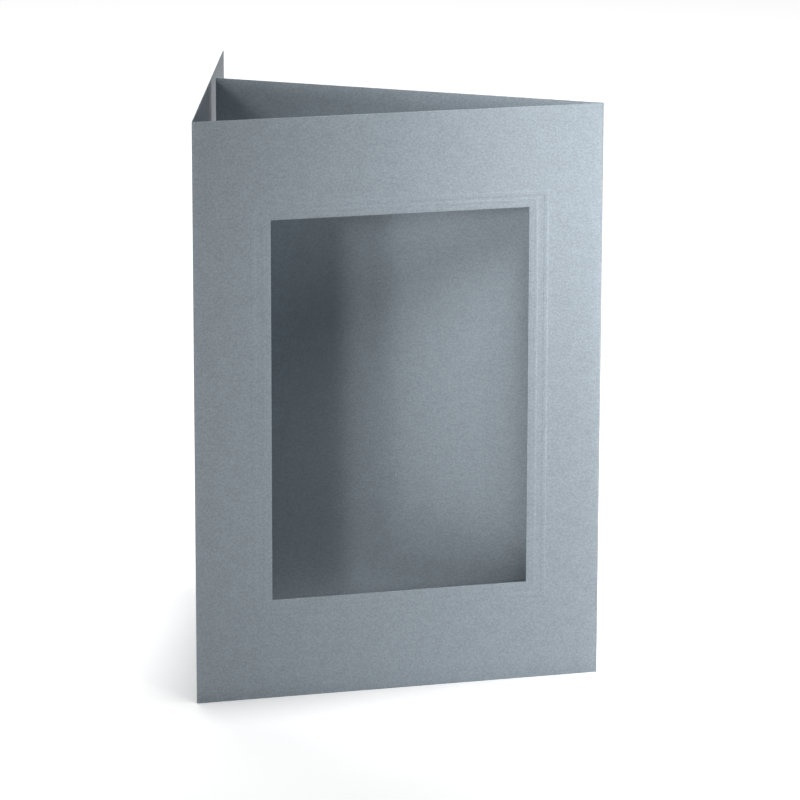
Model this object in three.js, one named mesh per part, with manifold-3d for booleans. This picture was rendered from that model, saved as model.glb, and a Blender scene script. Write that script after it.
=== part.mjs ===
// Passe-partout card: one upright sheet of pearl card, creased twice.
// From left to right, seen from the front, it is a leaf, a front with a window, and a flap.
// The leaf folds back at the left crease. The flap folds back at the right crease, behind the
// window, and its free edge stands just clear of the leaf, so the card stands as a triangle.
// Units are millimetres and degrees. +Z is up, and the front faces -Y.

import * as THREE from 'three';
import { mergeVertices, toCreasedNormals } from 'three/addons/utils/BufferGeometryUtils.js';
import Module from 'manifold-3d';

// Sheet
const SHEET_HEIGHT = 169;
const SHEET_THICKNESS = 0.3;

// Panels, each as wide as it measures when the card is folded flat
const FRONT_WIDTH = 120;
const LEAF_WIDTH = 120;
const FLAP_WIDTH = 119;

// Creases
const CREASE_INNER_RADIUS = 0.2;
const CREASE_SEGMENTS = 12;
const LEAF_ANGLE = 72.8;
const FLAP_CLEARANCE = 1.1;

// Window, by the card left on each side of it
const MARGIN_LEAF_SIDE = 22.3;
const MARGIN_FLAP_SIDE = 22.0;
const MARGIN_HEAD = 29.0;
const MARGIN_FOOT = 29.2;
const CUT_OVERRUN = 1;

// Two embossed frames around the window. side and end run from the window's edge to the middle of
// the line, beside the window and above or below it. crest is the flat top of the line, slope the
// width of each flank, and rise how far the line stands proud of the front.
const INNER_FRAME = { side: 2.2, end: 2.2, crest: 0.4, slope: 0.45, rise: 0.06 };
const OUTER_FRAME = { side: 5.1, end: 4.0, crest: 0.6, slope: 0.6, rise: 0.08 };

// Card finish
const CARD_COLOUR = 0x97a2ab;
const CARD_ROUGHNESS = 0.5;
const CARD_METALNESS = 0.4;
const SMOOTHING_ANGLE = 30;

const wasm = await Module();
wasm.setup();

/** Direction in the plan at an angle in radians from +X. */
function direction(angle) {
  return new THREE.Vector2(Math.cos(angle), Math.sin(angle));
}

/** Closed solid for cutting and joining, from any closed three.js geometry. */
function toSolid(geometry) {
  const bare = geometry.clone();
  bare.deleteAttribute('normal');
  bare.deleteAttribute('uv');
  const merged = mergeVertices(bare);
  return new wasm.Manifold(new wasm.Mesh({
    numProp: 3,
    vertProperties: new Float32Array(merged.attributes.position.array),
    triVerts: new Uint32Array(merged.index.array),
  }));
}

/** Three.js geometry of a finished solid, smooth round the creases and sharp at the cut edges. */
function toGeometry(solid) {
  const mesh = solid.getMesh();
  const geometry = new THREE.BufferGeometry();
  geometry.setAttribute('position', new THREE.BufferAttribute(mesh.vertProperties, mesh.numProp));
  geometry.setIndex(new THREE.BufferAttribute(mesh.triVerts, 1));
  return toCreasedNormals(geometry, THREE.MathUtils.degToRad(SMOOTHING_ANGLE));
}

/**
 * Angle in radians between the flap and the shortest line from its crease to the leaf.
 * The inner corner of the flap's free edge stops FLAP_CLEARANCE short of the leaf's inner face.
 */
function flapLean(leafAngle, creaseSpan, flapReach) {
  const leafDistance = CREASE_INNER_RADIUS + creaseSpan * Math.sin(leafAngle);
  const cornerReach = Math.hypot(flapReach, CREASE_INNER_RADIUS);
  const cornerLean = Math.acos(Math.min(1, (leafDistance - FLAP_CLEARANCE) / cornerReach));
  return cornerLean - Math.atan2(CREASE_INNER_RADIUS, flapReach);
}

/**
 * The folded sheet seen from above, with the front along X.
 * A panel's normal is the angle that its outer face looks along, and each crease is an arc that
 * turns from one panel's normal to the next.
 */
function foldedSection() {
  const outerRadius = CREASE_INNER_RADIUS + SHEET_THICKNESS;
  const creaseSpan = FRONT_WIDTH - 2 * outerRadius;
  const leafReach = LEAF_WIDTH - outerRadius;
  const flapReach = FLAP_WIDTH - outerRadius;

  const squareTurn = Math.PI / 2;
  const leafAngle = THREE.MathUtils.degToRad(LEAF_ANGLE);
  const frontNormal = -squareTurn;
  const leafNormal = leafAngle - 3 * squareTurn;
  const flapNormal = leafAngle - flapLean(leafAngle, creaseSpan, flapReach);
  const flapAngle = flapNormal + squareTurn;

  const leafCrease = new THREE.Vector2(outerRadius, outerRadius);
  const flapCrease = new THREE.Vector2(outerRadius + creaseSpan, outerRadius);
  const leafEnd = direction(leafAngle).multiplyScalar(leafReach).add(leafCrease);
  const flapEnd = direction(flapAngle).multiplyScalar(flapReach).add(flapCrease);

  const corner = (end, normal, radius) => direction(normal).multiplyScalar(radius).add(end);
  const leafOuter = corner(leafEnd, leafNormal, outerRadius);
  const leafInner = corner(leafEnd, leafNormal, CREASE_INNER_RADIUS);
  const flapOuter = corner(flapEnd, flapNormal, outerRadius);
  const flapInner = corner(flapEnd, flapNormal, CREASE_INNER_RADIUS);

  const section = new THREE.Shape();
  section.moveTo(leafInner.x, leafInner.y);
  section.lineTo(leafOuter.x, leafOuter.y);
  section.absarc(leafCrease.x, leafCrease.y, outerRadius, leafNormal, frontNormal, false);
  section.absarc(flapCrease.x, flapCrease.y, outerRadius, frontNormal, flapNormal, false);
  section.lineTo(flapOuter.x, flapOuter.y);
  section.lineTo(flapInner.x, flapInner.y);
  section.absarc(flapCrease.x, flapCrease.y, CREASE_INNER_RADIUS, flapNormal, frontNormal, true);
  section.absarc(leafCrease.x, leafCrease.y, CREASE_INNER_RADIUS, frontNormal, leafNormal, true);
  section.closePath();
  return section;
}

/** The window's opening in the front, as it is seen from the front. */
function windowOpening() {
  return new THREE.Box2(
    new THREE.Vector2(MARGIN_LEAF_SIDE, MARGIN_FOOT),
    new THREE.Vector2(FRONT_WIDTH - MARGIN_FLAP_SIDE, SHEET_HEIGHT - MARGIN_HEAD),
  );
}

/** Corner points of a box, anticlockwise. */
function boxPoints({ min, max }) {
  return [
    new THREE.Vector2(min.x, min.y),
    new THREE.Vector2(max.x, min.y),
    new THREE.Vector2(max.x, max.y),
    new THREE.Vector2(min.x, max.y),
  ];
}

/** Solid that punches the window right through the front. */
function windowCutter(opening) {
  const size = opening.getSize(new THREE.Vector2());
  const middle = opening.getCenter(new THREE.Vector2());
  const cutter = new THREE.BoxGeometry(size.x, SHEET_THICKNESS + 2 * CUT_OVERRUN, size.y);
  cutter.translate(middle.x, SHEET_THICKNESS / 2, middle.y);
  return toSolid(cutter);
}

/** Raised line round the opening, with mitred corners, standing on the front's face. */
function embossedLine(opening, frame) {
  const grown = (extra) => opening.clone().expandByVector(
    new THREE.Vector2(frame.side + extra, frame.end + extra),
  );
  const ring = new THREE.Shape(boxPoints(grown(frame.crest / 2)));
  ring.holes.push(new THREE.Path(boxPoints(grown(-frame.crest / 2))));
  const line = new THREE.ExtrudeGeometry(ring, {
    depth: SHEET_THICKNESS / 2,
    bevelThickness: frame.rise,
    bevelSize: frame.slope,
    bevelSegments: 1,
  });
  line.rotateX(Math.PI / 2);
  line.translate(0, SHEET_THICKNESS / 2, 0);
  return toSolid(line);
}

/** The whole sheet: folded, punched, and embossed from the back towards the front. */
function foldedCard() {
  let sheet = toSolid(new THREE.ExtrudeGeometry(foldedSection(), {
    depth: SHEET_HEIGHT,
    bevelEnabled: false,
    curveSegments: CREASE_SEGMENTS,
  }));
  const opening = windowOpening();
  for (const frame of [INNER_FRAME, OUTER_FRAME]) {
    const line = embossedLine(opening, frame);
    sheet = sheet.add(line).subtract(line.translate([0, SHEET_THICKNESS, 0]));
  }
  return sheet.subtract(windowCutter(opening));
}

const cardMaterial = new THREE.MeshStandardMaterial({
  color: CARD_COLOUR,
  roughness: CARD_ROUGHNESS,
  metalness: CARD_METALNESS,
});

const card = new THREE.Mesh(toGeometry(foldedCard()), cardMaterial);
card.name = 'folded_card';

// The origin is under the middle of the card's box, at the height of its lower cut edge.
card.geometry.computeBoundingBox();
const { min, max } = card.geometry.boundingBox;
card.position.set(-(min.x + max.x) / 2, -(min.y + max.y) / 2, -min.z);

const passePartoutCard = new THREE.Group();
passePartoutCard.add(card);

export default passePartoutCard;
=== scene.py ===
"""Looks of a passe-partout card: one sheet of pearl card, creased into a leaf, a front and a flap.

The card stands on its lower edges as a triangle seen from above. The front has a window with two
embossed lines round it. All lengths are in metres unless a name says otherwise, in the frame of
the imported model: the front runs along X and faces -Y, and +Z is up.
"""

import logging
import math
from dataclasses import dataclass
from enum import Enum

import bpy
import numpy as np
from mathutils import Matrix, Vector


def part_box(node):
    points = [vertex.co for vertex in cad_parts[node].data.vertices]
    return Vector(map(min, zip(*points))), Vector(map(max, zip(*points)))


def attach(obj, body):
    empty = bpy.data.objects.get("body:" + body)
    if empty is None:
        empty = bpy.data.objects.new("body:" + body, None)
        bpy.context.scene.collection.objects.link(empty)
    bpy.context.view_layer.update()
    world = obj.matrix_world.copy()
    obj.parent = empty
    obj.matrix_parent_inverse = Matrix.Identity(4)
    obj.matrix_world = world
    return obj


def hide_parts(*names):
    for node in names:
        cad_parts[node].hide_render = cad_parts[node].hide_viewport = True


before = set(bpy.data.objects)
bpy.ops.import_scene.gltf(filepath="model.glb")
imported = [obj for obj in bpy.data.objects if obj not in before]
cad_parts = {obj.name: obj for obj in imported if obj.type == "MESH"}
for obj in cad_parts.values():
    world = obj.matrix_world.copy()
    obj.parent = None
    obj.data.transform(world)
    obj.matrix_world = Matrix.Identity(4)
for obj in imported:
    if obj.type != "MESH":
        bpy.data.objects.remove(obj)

MM = 0.001
IMAGE_SIDE_PX = 800

log = logging.getLogger("passe_partout_card")


class Face(Enum):
    """The two faces of the sheet, as the sign of their offset from its middle."""

    OUTER = 1.0
    INNER = -1.0


@dataclass(frozen=True)
class EmbossedLine:
    """One raised line round the window, pressed through the sheet from behind."""

    side: float
    end: float
    crest: float
    slope: float
    rise: float

    @property
    def half_width(self) -> float:
        """Distance from the line's middle to its foot."""
        return self.crest / 2 + self.slope

    def height(self, beside: np.ndarray, beyond: np.ndarray) -> np.ndarray:
        """Height of the line over the sheet: a flat crest with half a cosine wave on each side.

        Args:
            beside: Distance outwards from the window's left or right edge.
            beyond: Distance outwards from the window's upper or lower edge.

        Returns:
            Height at each point, nought outside the line.
        """
        off_line = np.maximum(beside - self.side, beyond - self.end)
        down = np.clip((np.abs(off_line) - self.crest / 2) / self.slope, 0.0, 1.0)
        wave = 0.5 * (1.0 + np.cos(np.pi * down))
        return self.rise * wave


@dataclass(frozen=True)
class Stretch:
    """A stretch of the sheet's middle line seen from above: straight, or an arc of one curvature."""

    length: float
    curvature: float
    steps: int


@dataclass
class FoldedSheet:
    """The card's one sheet: leaf, crease, front, crease and flap, as one closed surface.

    The surface has two parameters. The first, along, is the distance from the leaf's free edge to
    the flap's free edge on the middle of the flattened sheet. The second, up, is the height. The
    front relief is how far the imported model's embossed lines stand out of its front.
    """

    height: float = 169.0 * MM
    thickness: float = 0.3 * MM
    front_width: float = 120.0 * MM
    leaf_width: float = 120.0 * MM
    flap_width: float = 119.0 * MM
    crease_inner_radius: float = 0.2 * MM
    leaf_angle: float = math.radians(72.8)
    flap_clearance: float = 1.1 * MM
    margin_leaf_side: float = 22.3 * MM
    margin_flap_side: float = 22.0 * MM
    margin_head: float = 29.0 * MM
    margin_foot: float = 29.2 * MM
    front_relief: float = 0.08 * MM
    lines: tuple[EmbossedLine, ...] = (
        EmbossedLine(2.2 * MM, 2.2 * MM, crest=0.4 * MM, slope=0.45 * MM, rise=0.042 * MM),
        EmbossedLine(5.1 * MM, 4.0 * MM, crest=0.6 * MM, slope=0.6 * MM, rise=0.058 * MM),
    )
    edge_radius: float = 0.07 * MM
    panel_steps: int = 36
    crease_steps: int = 18
    line_steps: int = 18
    edge_steps: int = 4
    grid_tolerance: float = 0.002 * MM
    pressed_width: float = 0.45 * MM

    @property
    def crease_radius(self) -> float:
        """Radius of a crease on the middle of the sheet."""
        return self.crease_inner_radius + self.thickness / 2

    @property
    def outer_radius(self) -> float:
        """Radius of a crease on its outer face."""
        return self.crease_inner_radius + self.thickness

    @property
    def flap_angle(self) -> float:
        """Angle between the front and the flap, whose free edge stops just short of the leaf."""
        crease_span = self.front_width - 2 * self.outer_radius
        reach = self.flap_width - self.outer_radius
        leaf_distance = self.crease_inner_radius + crease_span * math.sin(self.leaf_angle)
        corner_reach = math.hypot(reach, self.crease_inner_radius)
        lean = math.acos(min(1.0, (leaf_distance - self.flap_clearance) / corner_reach))
        lean -= math.atan2(self.crease_inner_radius, reach)
        return math.pi / 2 - self.leaf_angle + lean

    def stretches(self) -> list[Stretch]:
        """The middle line's stretches, from the leaf's free edge to the flap's."""
        def crease(turn: float) -> Stretch:
            """Arc that turns the sheet by an angle."""
            return Stretch(self.crease_radius * turn, 1 / self.crease_radius, self.crease_steps)

        return [
            Stretch(self.leaf_width - self.outer_radius, 0.0, self.panel_steps),
            crease(math.pi - self.leaf_angle),
            Stretch(self.front_width - 2 * self.outer_radius, 0.0, self.panel_steps),
            crease(math.pi - self.flap_angle),
            Stretch(self.flap_width - self.outer_radius, 0.0, self.panel_steps),
        ]

    def front_start(self) -> float:
        """Place along the sheet where the front's flat part starts."""
        leaf, crease = self.stretches()[:2]
        return leaf.length + crease.length

    def window(self) -> tuple[float, float, float, float]:
        """The window's edges along the sheet and up it: left, right, lower and upper."""
        left_end = self.front_start() - self.outer_radius
        return (
            left_end + self.margin_leaf_side,
            left_end + self.front_width - self.margin_flap_side,
            self.margin_foot,
            self.height - self.margin_head,
        )

    def plan(self, along: np.ndarray) -> tuple[np.ndarray, np.ndarray]:
        """Middle line of the sheet seen from above.

        Each stretch starts where the last one ended and keeps its curvature k. After a distance d
        on a stretch with heading h, the point has moved (sin(h + k d) - sin h) / k in X and
        (cos h - cos(h + k d)) / k in Y, or d along the heading where k is nought.

        Args:
            along: Places along the sheet, in order.

        Returns:
            The points and the unit normals of the outer face, both with two columns.
        """
        points = np.zeros((len(along), 2))
        headings = np.zeros(len(along))
        heading = -(math.pi - self.leaf_angle)
        start = np.zeros(2)
        begin = 0.0
        for stretch in self.stretches():
            here = along >= begin
            run = along[here] - begin
            points[here] = start + self.run_out(run, heading, stretch.curvature)
            headings[here] = heading + stretch.curvature * run
            start = start + self.run_out(np.array([stretch.length]), heading, stretch.curvature)[0]
            heading += stretch.curvature * stretch.length
            begin += stretch.length
        normals = np.stack([np.sin(headings), -np.cos(headings)], axis=1)
        return points, normals

    @staticmethod
    def run_out(run: np.ndarray, heading: float, curvature: float) -> np.ndarray:
        """Way gone after each distance on a stretch of one curvature.

        Args:
            run: Distances from the stretch's start.
            heading: Heading at its start, in radians from +X.
            curvature: One over its radius, or nought.

        Returns:
            The way gone in X and Y, one row for each distance.
        """
        if curvature == 0.0:
            return run[:, None] * np.array([math.cos(heading), math.sin(heading)])
        turned = heading + curvature * run
        return np.stack([
            (np.sin(turned) - math.sin(heading)) / curvature,
            (math.cos(heading) - np.cos(turned)) / curvature,
        ], axis=1)

    def edge_places(self, edge: float, inwards: float) -> np.ndarray:
        """Grid places that round a cut edge: equal angles of a quarter circle from it."""
        angles = np.linspace(0.0, math.pi / 2, self.edge_steps + 1)
        return edge + inwards * self.edge_radius * (1.0 - np.cos(angles))

    def line_places(self, edge: float, outwards: float, offset: float, width: float) -> np.ndarray:
        """Grid places across one side of an embossed line."""
        return edge + outwards * (offset + np.linspace(-width, width, self.line_steps + 1))

    def grid(self) -> tuple[np.ndarray, np.ndarray]:
        """Places of the surface's grid lines, along the sheet and up it.

        Returns:
            The places along and the places up, both sorted. They are close together where the
            sheet bends, at the embossed lines and at the cut edges.
        """
        left, right, lower, upper = self.window()
        along, up, begin = [], [], 0.0
        for stretch in self.stretches():
            along.append(np.linspace(begin, begin + stretch.length, stretch.steps + 1))
            begin += stretch.length
        along += [self.edge_places(0.0, 1.0), self.edge_places(begin, -1.0)]
        up.append(np.linspace(0.0, self.height, self.panel_steps + 1))
        up += [self.edge_places(0.0, 1.0), self.edge_places(self.height, -1.0)]
        for edge, outwards in ((left, -1.0), (right, 1.0)):
            along.append(self.edge_places(edge, outwards))
            along += [self.line_places(edge, outwards, s.side, s.half_width) for s in self.lines]
        for edge, outwards in ((lower, -1.0), (upper, 1.0)):
            up.append(self.edge_places(edge, outwards))
            up += [self.line_places(edge, outwards, s.end, s.half_width) for s in self.lines]
        return (
            self.without_twins(np.concatenate(along), np.array([left, right])),
            self.without_twins(np.concatenate(up), np.array([lower, upper])),
        )

    def without_twins(self, places: np.ndarray, kept: np.ndarray) -> np.ndarray:
        """Sorts grid places and drops those that lie on another, within the grid's tolerance.

        Args:
            places: Grid places in any order.
            kept: Places that stay exactly as they are.

        Returns:
            The sorted places.
        """
        apart = np.abs(places[:, None] - kept[None, :]).min(axis=1) > self.grid_tolerance
        ordered = np.sort(np.concatenate([places[apart], kept]))
        gaps = np.diff(ordered, prepend=ordered[0] - 1.0)
        return ordered[gaps > self.grid_tolerance]

    def face_offset(self, face: Face, along: np.ndarray, up: np.ndarray) -> np.ndarray:
        """Offset of a face from the sheet's middle, at the points of the grid.

        It is half the thickness, plus the embossed lines' height on both faces alike, less the
        rounding of the cut edges. The rounding is a quarter circle: at a distance d from the edge
        and a radius r it takes away r - sqrt(r r - (r - d) (r - d)).

        Args:
            face: Which face.
            along: Places along the sheet, as a column.
            up: Places up the sheet, as a row.

        Returns:
            Offset along the outer normal at each grid point.
        """
        left, right, lower, upper = self.window()
        beside = np.maximum(left - along, along - right) + 0.0 * up
        beyond = np.maximum(lower - up, up - upper) + 0.0 * along
        embossed = sum(line.height(beside, beyond) for line in self.lines)
        end = sum(stretch.length for stretch in self.stretches())
        from_window = np.maximum(beside, beyond)
        from_rim = np.minimum(np.minimum(along, end - along), np.minimum(up, self.height - up))
        from_edge = np.minimum(np.abs(from_window), from_rim)
        into = np.clip(self.edge_radius - from_edge, 0.0, self.edge_radius)
        rounding = self.edge_radius - np.sqrt(np.maximum(self.edge_radius**2 - into**2, 0.0))
        return embossed + face.value * (self.thickness / 2 - rounding)

    def build(self) -> bpy.types.Object:
        """Builds the sheet as one closed mesh.

        Both faces share one grid, offset from the middle line along its normals. Quads of the grid
        inside the window are left out, and a wall of quads joins the faces round the rim and the
        window. The walls are the second material's.

        Returns:
            The finished object, with its place in its mesh.
        """
        along, up = self.grid()
        points, normals = self.plan(along)
        faces = [
            self.face_points(face, along, up, points, normals) for face in (Face.OUTER, Face.INNER)
        ]
        verts = np.concatenate([f.reshape(-1, 3) for f in faces])
        quads, walls = self.quads(along, up)
        place = self.centre_offset(points, normals)
        verts[:, :2] += place

        mesh = bpy.data.meshes.new("folded_sheet")
        all_quads = np.concatenate([quads, walls])
        mesh.from_pydata(verts.tolist(), [], all_quads.tolist())
        mesh.polygons.foreach_set(
            "material_index",
            np.repeat([0, 1], [len(quads), len(walls)]).astype(np.int32),
        )
        mesh.polygons.foreach_set("use_smooth", np.ones(len(all_quads), bool))
        self.write_attributes(mesh, along, up)
        mesh.update()
        card = bpy.data.objects.new("folded_sheet", mesh)
        bpy.context.scene.collection.objects.link(card)
        return card

    def face_points(
        self,
        face: Face,
        along: np.ndarray,
        up: np.ndarray,
        points: np.ndarray,
        normals: np.ndarray,
    ) -> np.ndarray:
        """Points of one face: the middle line, moved along its normal, at each height.

        Args:
            face: Which face.
            along: Places along the sheet.
            up: Places up the sheet.
            points: Middle line at those places.
            normals: Outer normals there.

        Returns:
            An array of points with one row for each place along and one column for each place up.
        """
        offset = self.face_offset(face, along[:, None], up[None, :])
        flat = points[:, None, :] + normals[:, None, :] * offset[:, :, None]
        height = np.broadcast_to(up[None, :, None], flat.shape[:2] + (1,))
        return np.concatenate([flat, height], axis=2)

    def quads(self, along: np.ndarray, up: np.ndarray) -> tuple[np.ndarray, np.ndarray]:
        """Corner numbers of the faces' quads and of the walls' quads.

        Args:
            along: Places along the sheet.
            up: Places up the sheet.

        Returns:
            The faces' quads, outer then inner, and the walls' quads, all turned outwards.
        """
        left, right, lower, upper = self.window()
        number = np.arange(len(along) * len(up)).reshape(len(along), len(up))
        inner = number.size
        corners = np.stack(
            [number[:-1, :-1], number[1:, :-1], number[1:, 1:], number[:-1, 1:]], axis=-1
        )
        mid_along = (along[:-1] + along[1:]) / 2
        mid_up = (up[:-1] + up[1:]) / 2
        in_window = ((mid_along > left) & (mid_along < right))[:, None]
        in_window = in_window & ((mid_up > lower) & (mid_up < upper))[None, :]
        outer_quads = corners[~in_window]
        quads = np.concatenate([outer_quads, outer_quads[:, ::-1] + inner])

        first, last = np.searchsorted(along, [left, right])
        bottom, top = np.searchsorted(up, [lower, upper])
        window = number[first:last + 1, bottom:top + 1]
        rings = [self.ring(number), self.ring(window)[::-1]]
        walls = []
        for ring in rings:
            here, there = ring, np.roll(ring, -1)
            walls.append(np.stack([here, here + inner, there + inner, there], axis=1))
        return quads, np.concatenate(walls)

    @staticmethod
    def ring(number: np.ndarray) -> np.ndarray:
        """Numbers round the border of a block of the grid, anticlockwise from its first corner."""
        return np.concatenate([
            number[:-1, 0], number[-1, :-1], number[:0:-1, -1], number[0, :0:-1],
        ])

    def centre_offset(self, points: np.ndarray, normals: np.ndarray) -> np.ndarray:
        """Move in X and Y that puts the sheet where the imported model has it.

        Args:
            points: Middle line.
            normals: Outer normals there.

        Returns:
            The move from the middle line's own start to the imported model's box.
        """
        outer = points + normals * self.thickness / 2
        inner = points - normals * self.thickness / 2
        low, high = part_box("folded_card")
        both = np.concatenate([outer, inner])
        return np.array([
            (low.x + high.x) / 2 - (both[:, 0].min() + both[:, 0].max()) / 2,
            low.y - (both[:, 1].min() - self.front_relief),
        ])

    def write_attributes(self, mesh: bpy.types.Mesh, along: np.ndarray, up: np.ndarray) -> None:
        """Writes where each point lies on the flattened sheet, and how hard it was pressed.

        Args:
            mesh: The sheet's mesh, outer points first.
            along: Places along the sheet.
            up: Places up the sheet.
        """
        sheet = np.zeros((2, len(along), len(up), 3), np.float32)
        sheet[..., 0] = along[None, :, None]
        sheet[..., 1] = up[None, None, :]
        sheet[0, ..., 2] = self.thickness / 2
        sheet[1, ..., 2] = -self.thickness / 2
        attribute = mesh.attributes.new("sheet", "FLOAT_VECTOR", "POINT")
        attribute.data.foreach_set("vector", sheet.ravel())

        bend = np.zeros(len(along), np.float32)
        begin = 0.0
        for stretch in self.stretches():
            if stretch.curvature:
                middle = begin + stretch.length / 2
                bend = np.maximum(bend, np.exp(-((along - middle) / self.pressed_width) ** 2))
            begin += stretch.length
        crease = np.broadcast_to(bend[None, :, None], (2, len(along), len(up)))
        attribute = mesh.attributes.new("crease", "FLOAT", "POINT")
        attribute.data.foreach_set("value", np.ascontiguousarray(crease, np.float32).ravel())


@dataclass(frozen=True)
class PearlCardFinish:
    """Pearl-coated card: a matte blue-grey body under a soft metallic sheen, with a fine grain.

    The sheet attribute carries the pattern, so the grain follows the card round its creases.
    """

    colour: tuple[float, float, float] = (0.315, 0.360, 0.398)
    metallic: float = 0.35
    roughness: float = 0.38
    gloss_level: float = 0.2
    edge_tint: tuple[float, float, float, float] = (0.12, 0.14, 0.16, 1.0)
    fibre_size: float = 0.55 * MM
    tooth_size: float = 0.22 * MM
    cloud_size: float = 5.0 * MM
    grain_depth: float = 0.050 * MM
    colour_spread: float = 0.15
    roughness_spread: float = 0.08
    crease_wear: float = 0.06
    layer_falloff: float = 0.55
    pattern_range: tuple[float, float] = (0.3, 0.7)

    def build(self) -> bpy.types.Material:
        """Makes the material.

        Returns:
            The pearl card material.
        """
        material = bpy.data.materials.new("pearl_card")
        material.use_nodes = True
        tree = material.node_tree
        shader = tree.nodes["Principled BSDF"]
        shader.inputs["Metallic"].default_value = self.metallic
        shader.inputs["Specular IOR Level"].default_value = self.gloss_level
        shader.inputs["Specular Tint"].default_value = self.edge_tint

        sheet = tree.nodes.new("ShaderNodeAttribute")
        sheet.attribute_name = "sheet"
        crease = tree.nodes.new("ShaderNodeAttribute")
        crease.attribute_name = "crease"
        fibres = self.noise(tree, sheet, self.fibre_size, detail=2.0)
        tooth = self.noise(tree, sheet, self.tooth_size, detail=2.0)
        clouds = self.noise(tree, sheet, self.cloud_size, detail=4.0)

        spread = self.weighted(tree, (fibres, 0.8), (clouds, 0.2))
        self.tint(tree, shader, spread, crease)
        self.gloss(tree, shader, self.weighted(tree, (tooth, 0.5), (clouds, 0.5)))
        self.relief(tree, shader, self.weighted(tree, (fibres, 0.7), (tooth, 0.3)))
        return material

    def noise(
        self, tree: bpy.types.NodeTree, sheet: bpy.types.Node, size: float, detail: float
    ) -> bpy.types.NodeSocket:
        """Adds a noise pattern on the flattened sheet.

        Args:
            tree: The material's nodes.
            sheet: The node that reads the place on the sheet.
            size: Size of the pattern's largest features.
            detail: Number of finer layers in it.

        Returns:
            The pattern's value, about a half on average.
        """
        node = tree.nodes.new("ShaderNodeTexNoise")
        node.inputs["Scale"].default_value = 1.0 / size
        node.inputs["Detail"].default_value = detail
        node.inputs["Roughness"].default_value = self.layer_falloff
        tree.links.new(sheet.outputs["Vector"], node.inputs["Vector"])
        return node.outputs["Fac"]

    def weighted(
        self, tree: bpy.types.NodeTree, *parts: tuple[bpy.types.NodeSocket, float]
    ) -> bpy.types.NodeSocket:
        """Adds patterns together by weight.

        Args:
            tree: The material's nodes.
            parts: Each pattern with its weight.

        Returns:
            The weighted sum.
        """
        total = None
        for socket, weight in parts:
            node = tree.nodes.new("ShaderNodeMath")
            node.operation = "MULTIPLY_ADD"
            node.inputs[1].default_value = weight
            tree.links.new(socket, node.inputs[0])
            if total is not None:
                tree.links.new(total, node.inputs[2])
            else:
                node.inputs[2].default_value = 0.0
            total = node.outputs[0]
        return total

    def ranged(
        self, tree: bpy.types.NodeTree, pattern: bpy.types.NodeSocket, low: float, high: float
    ) -> bpy.types.NodeSocket:
        """Stretches a pattern from its usual range to another.

        Args:
            tree: The material's nodes.
            pattern: The pattern.
            low: Value at the low end of the pattern's range.
            high: Value at its high end.

        Returns:
            The stretched pattern.
        """
        ramp = tree.nodes.new("ShaderNodeMapRange")
        ramp.inputs["From Min"].default_value = self.pattern_range[0]
        ramp.inputs["From Max"].default_value = self.pattern_range[1]
        ramp.inputs["To Min"].default_value = low
        ramp.inputs["To Max"].default_value = high
        tree.links.new(pattern, ramp.inputs["Value"])
        return ramp.outputs["Result"]

    def tint(
        self,
        tree: bpy.types.NodeTree,
        shader: bpy.types.Node,
        spread: bpy.types.NodeSocket,
        crease: bpy.types.Node,
    ) -> None:
        """Varies the colour a little round the card's own, and lightens it along the creases.

        Args:
            tree: The material's nodes.
            shader: The surface shader.
            spread: Pattern that varies the colour.
            crease: The node that reads how hard the sheet was pressed.
        """
        shade = self.ranged(tree, spread, 1.0 - self.colour_spread, 1.0 + self.colour_spread)
        worn = tree.nodes.new("ShaderNodeMath")
        worn.operation = "MULTIPLY_ADD"
        worn.inputs[1].default_value = self.crease_wear
        tree.links.new(crease.outputs["Fac"], worn.inputs[0])
        tree.links.new(shade, worn.inputs[2])
        scaled = tree.nodes.new("ShaderNodeVectorMath")
        scaled.operation = "SCALE"
        scaled.inputs[0].default_value = self.colour
        tree.links.new(worn.outputs[0], scaled.inputs["Scale"])
        tree.links.new(scaled.outputs["Vector"], shader.inputs["Base Color"])

    def gloss(
        self, tree: bpy.types.NodeTree, shader: bpy.types.Node, spread: bpy.types.NodeSocket
    ) -> None:
        """Varies the roughness, as the pearl coat lies unevenly on the fibres.

        Args:
            tree: The material's nodes.
            shader: The surface shader.
            spread: Pattern that varies the roughness.
        """
        half = self.roughness_spread / 2
        rough = self.ranged(tree, spread, self.roughness - half, self.roughness + half)
        tree.links.new(rough, shader.inputs["Roughness"])

    def relief(
        self, tree: bpy.types.NodeTree, shader: bpy.types.Node, grain: bpy.types.NodeSocket
    ) -> None:
        """Raises the grain as a bump.

        Args:
            tree: The material's nodes.
            shader: The surface shader.
            grain: Pattern of the grain's height.
        """
        bump = tree.nodes.new("ShaderNodeBump")
        bump.inputs["Strength"].default_value = 1.0
        bump.inputs["Distance"].default_value = self.grain_depth
        tree.links.new(grain, bump.inputs["Height"])
        tree.links.new(bump.outputs["Normal"], shader.inputs["Normal"])


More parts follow.
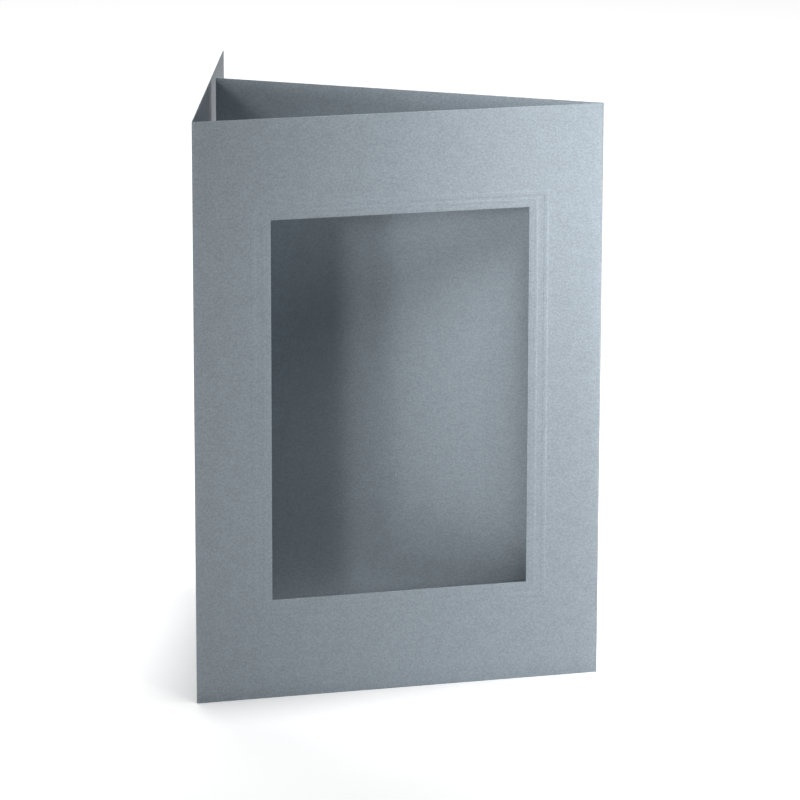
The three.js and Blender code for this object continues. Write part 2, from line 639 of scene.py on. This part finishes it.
@dataclass(frozen=True)
class CutEdgeFinish:
    """Edge where the card was cut: bare fibre of the same colour, with no pearl on it."""

    colour: tuple[float, float, float] = (0.25, 0.29, 0.33)
    roughness: float = 0.85
    fibre_size: float = 0.18 * MM
    fibre_depth: float = 0.02 * MM

    def build(self) -> bpy.types.Material:
        """Makes the material.

        Returns:
            The cut edge material.
        """
        material = bpy.data.materials.new("cut_card_edge")
        material.use_nodes = True
        tree = material.node_tree
        shader = tree.nodes["Principled BSDF"]
        shader.inputs["Roughness"].default_value = self.roughness
        shader.inputs["Base Color"].default_value = (*self.colour, 1.0)
        sheet = tree.nodes.new("ShaderNodeAttribute")
        sheet.attribute_name = "sheet"
        fibres = tree.nodes.new("ShaderNodeTexNoise")
        fibres.inputs["Scale"].default_value = 1.0 / self.fibre_size
        fibres.inputs["Detail"].default_value = 2.0
        bump = tree.nodes.new("ShaderNodeBump")
        bump.inputs["Distance"].default_value = self.fibre_depth
        tree.links.new(sheet.outputs["Vector"], fibres.inputs["Vector"])
        tree.links.new(fibres.outputs["Fac"], bump.inputs["Height"])
        tree.links.new(bump.outputs["Normal"], shader.inputs["Normal"])
        return material


@dataclass
class SoftLight:
    """A square studio softbox, which the camera doesn't see.

    Side is its width, power its watts, target the place that it faces and beam its full angle.
    """

    name: str
    place: tuple[float, float, float]
    side: float
    power: float
    target: tuple[float, float, float]
    beam: float

    def build(self) -> bpy.types.Object:
        """Makes the lamp.

        Returns:
            The lamp's object.
        """
        data = bpy.data.lights.new(self.name, "AREA")
        data.shape = "SQUARE"
        data.size = self.side
        data.energy = self.power
        data.spread = self.beam
        lamp = bpy.data.objects.new(self.name, data)
        lamp.visible_camera = False
        lamp.location = self.place
        direction = Vector(self.target) - Vector(self.place)
        lamp.rotation_euler = direction.to_track_quat("-Z", "Y").to_euler()
        bpy.context.scene.collection.objects.link(lamp)
        return lamp


def surround_ray(tree: bpy.types.NodeTree) -> bpy.types.NodeSocket:
    """Adds a switch for the rays that show the background: camera, glossy and transmission rays.

    Args:
        tree: Nodes of the floor's material or of the world.

    Returns:
        One for such a ray and nought for any other.
    """
    path = tree.nodes.new("ShaderNodeLightPath")
    total = path.outputs["Is Camera Ray"]
    for name in ("Is Glossy Ray", "Is Transmission Ray"):
        either = tree.nodes.new("ShaderNodeMath")
        either.operation = "MAXIMUM"
        tree.links.new(total, either.inputs[0])
        tree.links.new(path.outputs[name], either.inputs[1])
        total = either.outputs[0]
    return total


@dataclass
class StudioFloor:
    """Plain pale floor, which shows white outside the card's shadow.

    Lift is the brightness that white surroundings add for the rays that show the background.
    Ambient occlusion dims it round the card's foot, out to the reach, as a painted contact shadow.
    """

    side: float = 6.0
    colour: tuple[float, float, float, float] = (0.85, 0.85, 0.85, 1.0)
    lift: float = 0.78
    reach: float = 25.0 * MM
    reach_samples: int = 4

    def build(self) -> bpy.types.Object:
        """Makes the floor as a flat square under the card.

        Returns:
            The floor's object.
        """
        half = self.side / 2
        corners = [(-half, -half, 0), (half, -half, 0), (half, half, 0), (-half, half, 0)]
        mesh = bpy.data.meshes.new("floor")
        mesh.from_pydata(corners, [], [(0, 1, 2, 3)])
        floor = bpy.data.objects.new("floor", mesh)
        bpy.context.scene.collection.objects.link(floor)
        mesh.materials.append(self.finish())
        return floor

    def finish(self) -> bpy.types.Material:
        """White paint whose lit colour is lifted to white for the rays that show the background.

        Returns:
            The floor's material.
        """
        material = bpy.data.materials.new("white_floor")
        material.use_nodes = True
        tree = material.node_tree
        tree.nodes.clear()
        paint = tree.nodes.new("ShaderNodeBsdfDiffuse")
        paint.inputs["Color"].default_value = self.colour
        glow = tree.nodes.new("ShaderNodeEmission")
        # Painted contact shadow: ambient occlusion dims the floor's glow round the card's foot.
        painted_contact_shadow = tree.nodes.new("ShaderNodeAmbientOcclusion")
        painted_contact_shadow.samples = self.reach_samples
        painted_contact_shadow.inputs["Distance"].default_value = self.reach
        strength = tree.nodes.new("ShaderNodeMath")
        strength.operation = "MULTIPLY"
        shaded = tree.nodes.new("ShaderNodeMath")
        shaded.operation = "MULTIPLY"
        shaded.inputs[1].default_value = self.lift
        both = tree.nodes.new("ShaderNodeAddShader")
        output = tree.nodes.new("ShaderNodeOutputMaterial")
        tree.links.new(painted_contact_shadow.outputs["AO"], shaded.inputs[0])
        tree.links.new(surround_ray(tree), strength.inputs[0])
        tree.links.new(shaded.outputs[0], strength.inputs[1])
        tree.links.new(strength.outputs[0], glow.inputs["Strength"])
        tree.links.new(paint.outputs[0], both.inputs[0])
        tree.links.new(glow.outputs[0], both.inputs[1])
        tree.links.new(both.outputs[0], output.inputs["Surface"])
        return material


@dataclass
class PhotoCamera:
    """Camera at the photograph's place, fitted to the corners of the front and the window."""

    place: tuple[float, float, float] = (-0.32918, -1.26426, 0.39457)
    yaw: float = math.radians(15.256)
    pitch: float = math.radians(13.864)
    roll: float = math.radians(0.121)
    focal_px: float = 4516.8
    nearest: float = 0.01
    farthest: float = 50.0

    def build(self) -> bpy.types.Object:
        """Makes the camera and hands it to the scene.

        Returns:
            The camera's object.
        """
        data = bpy.data.cameras.new("photo_camera")
        data.lens = self.focal_px / IMAGE_SIDE_PX * data.sensor_width
        data.clip_start, data.clip_end = self.nearest, self.farthest
        camera = bpy.data.objects.new("photo_camera", data)
        ahead = Vector((
            math.sin(self.yaw) * math.cos(self.pitch),
            math.cos(self.yaw) * math.cos(self.pitch),
            -math.sin(self.pitch),
        ))
        level = Vector((math.cos(self.yaw), -math.sin(self.yaw), 0.0))
        upward = level.cross(ahead)
        right = math.cos(self.roll) * level + math.sin(self.roll) * upward
        true_up = math.cos(self.roll) * upward - math.sin(self.roll) * level
        turn = Matrix((right, true_up, -ahead)).transposed()
        camera.matrix_world = Matrix.Translation(self.place) @ turn.to_4x4()
        bpy.context.scene.collection.objects.link(camera)
        bpy.context.scene.camera = camera
        return camera


@dataclass
class StudioWorld:
    """Dim even light from all round, with a white background."""

    ambient: float = 0.02

    def build(self) -> bpy.types.World:
        """Makes the world.

        Returns:
            The world.
        """
        world = bpy.data.worlds.new("studio")
        bpy.context.scene.world = world
        world.use_nodes = True
        tree = world.node_tree
        tree.nodes.clear()
        output = tree.nodes.new("ShaderNodeOutputWorld")
        mix = tree.nodes.new("ShaderNodeMixShader")
        for socket, strength in ((1, self.ambient), (2, 1.0)):
            light = tree.nodes.new("ShaderNodeBackground")
            light.inputs["Color"].default_value = (1.0, 1.0, 1.0, 1.0)
            light.inputs["Strength"].default_value = strength
            tree.links.new(light.outputs[0], mix.inputs[socket])
        tree.links.new(surround_ray(tree), mix.inputs["Fac"])
        tree.links.new(mix.outputs[0], output.inputs["Surface"])
        return world


FRONT_MIDDLE = (0.0, -0.057, 0.09)
FRONT_RIGHT = (0.072, -0.057, 0.135)
THROUGH_WINDOW = (0.035, -0.040, 0.105)
HALF_ROUND = math.radians(180.0)
WIDE_BEAM = math.radians(48.0)
NARROW_BEAM = math.radians(13.0)
STUDIO_LIGHTS = (
    SoftLight("key_above", (0.059, -0.219, 0.336), 0.12, 0.091, FRONT_RIGHT, WIDE_BEAM),
    SoftLight("side_low", (0.171, -0.155, 0.055), 0.10, 0.105, FRONT_MIDDLE, HALF_ROUND),
    SoftLight("front_low", (0.127, -0.208, 0.125), 0.10, 0.054, FRONT_MIDDLE, HALF_ROUND),
    SoftLight("window_beam", (-0.388, -0.611, 0.271), 0.24, 0.036, THROUGH_WINDOW, NARROW_BEAM),
    SoftLight("left_beam", (-0.536, -0.507, 0.090), 0.175, 0.005, THROUGH_WINDOW, NARROW_BEAM),
    SoftLight("back", (0.10, 0.80, 1.00), 0.80, 6.4, FRONT_MIDDLE, HALF_ROUND),
)


def main() -> None:
    """Builds the card and its studio, in order."""
    logging.basicConfig(level=logging.INFO, format="%(name)s: %(message)s")
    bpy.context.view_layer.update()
    scene = bpy.context.scene
    scene.view_settings.view_transform = "Standard"

    PhotoCamera().build()
    card = FoldedSheet().build()
    card.data.materials.append(PearlCardFinish().build())
    card.data.materials.append(CutEdgeFinish().build())
    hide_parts("folded_card")
    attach(card, "root")
    log.info("%s: %d quads", card.name, len(card.data.polygons))

    StudioFloor().build()
    StudioWorld().build()
    for light in STUDIO_LIGHTS:
        light.build()
        log.info("%s: %.3f W", light.name, light.power)


if __name__ == "__main__":
    main()
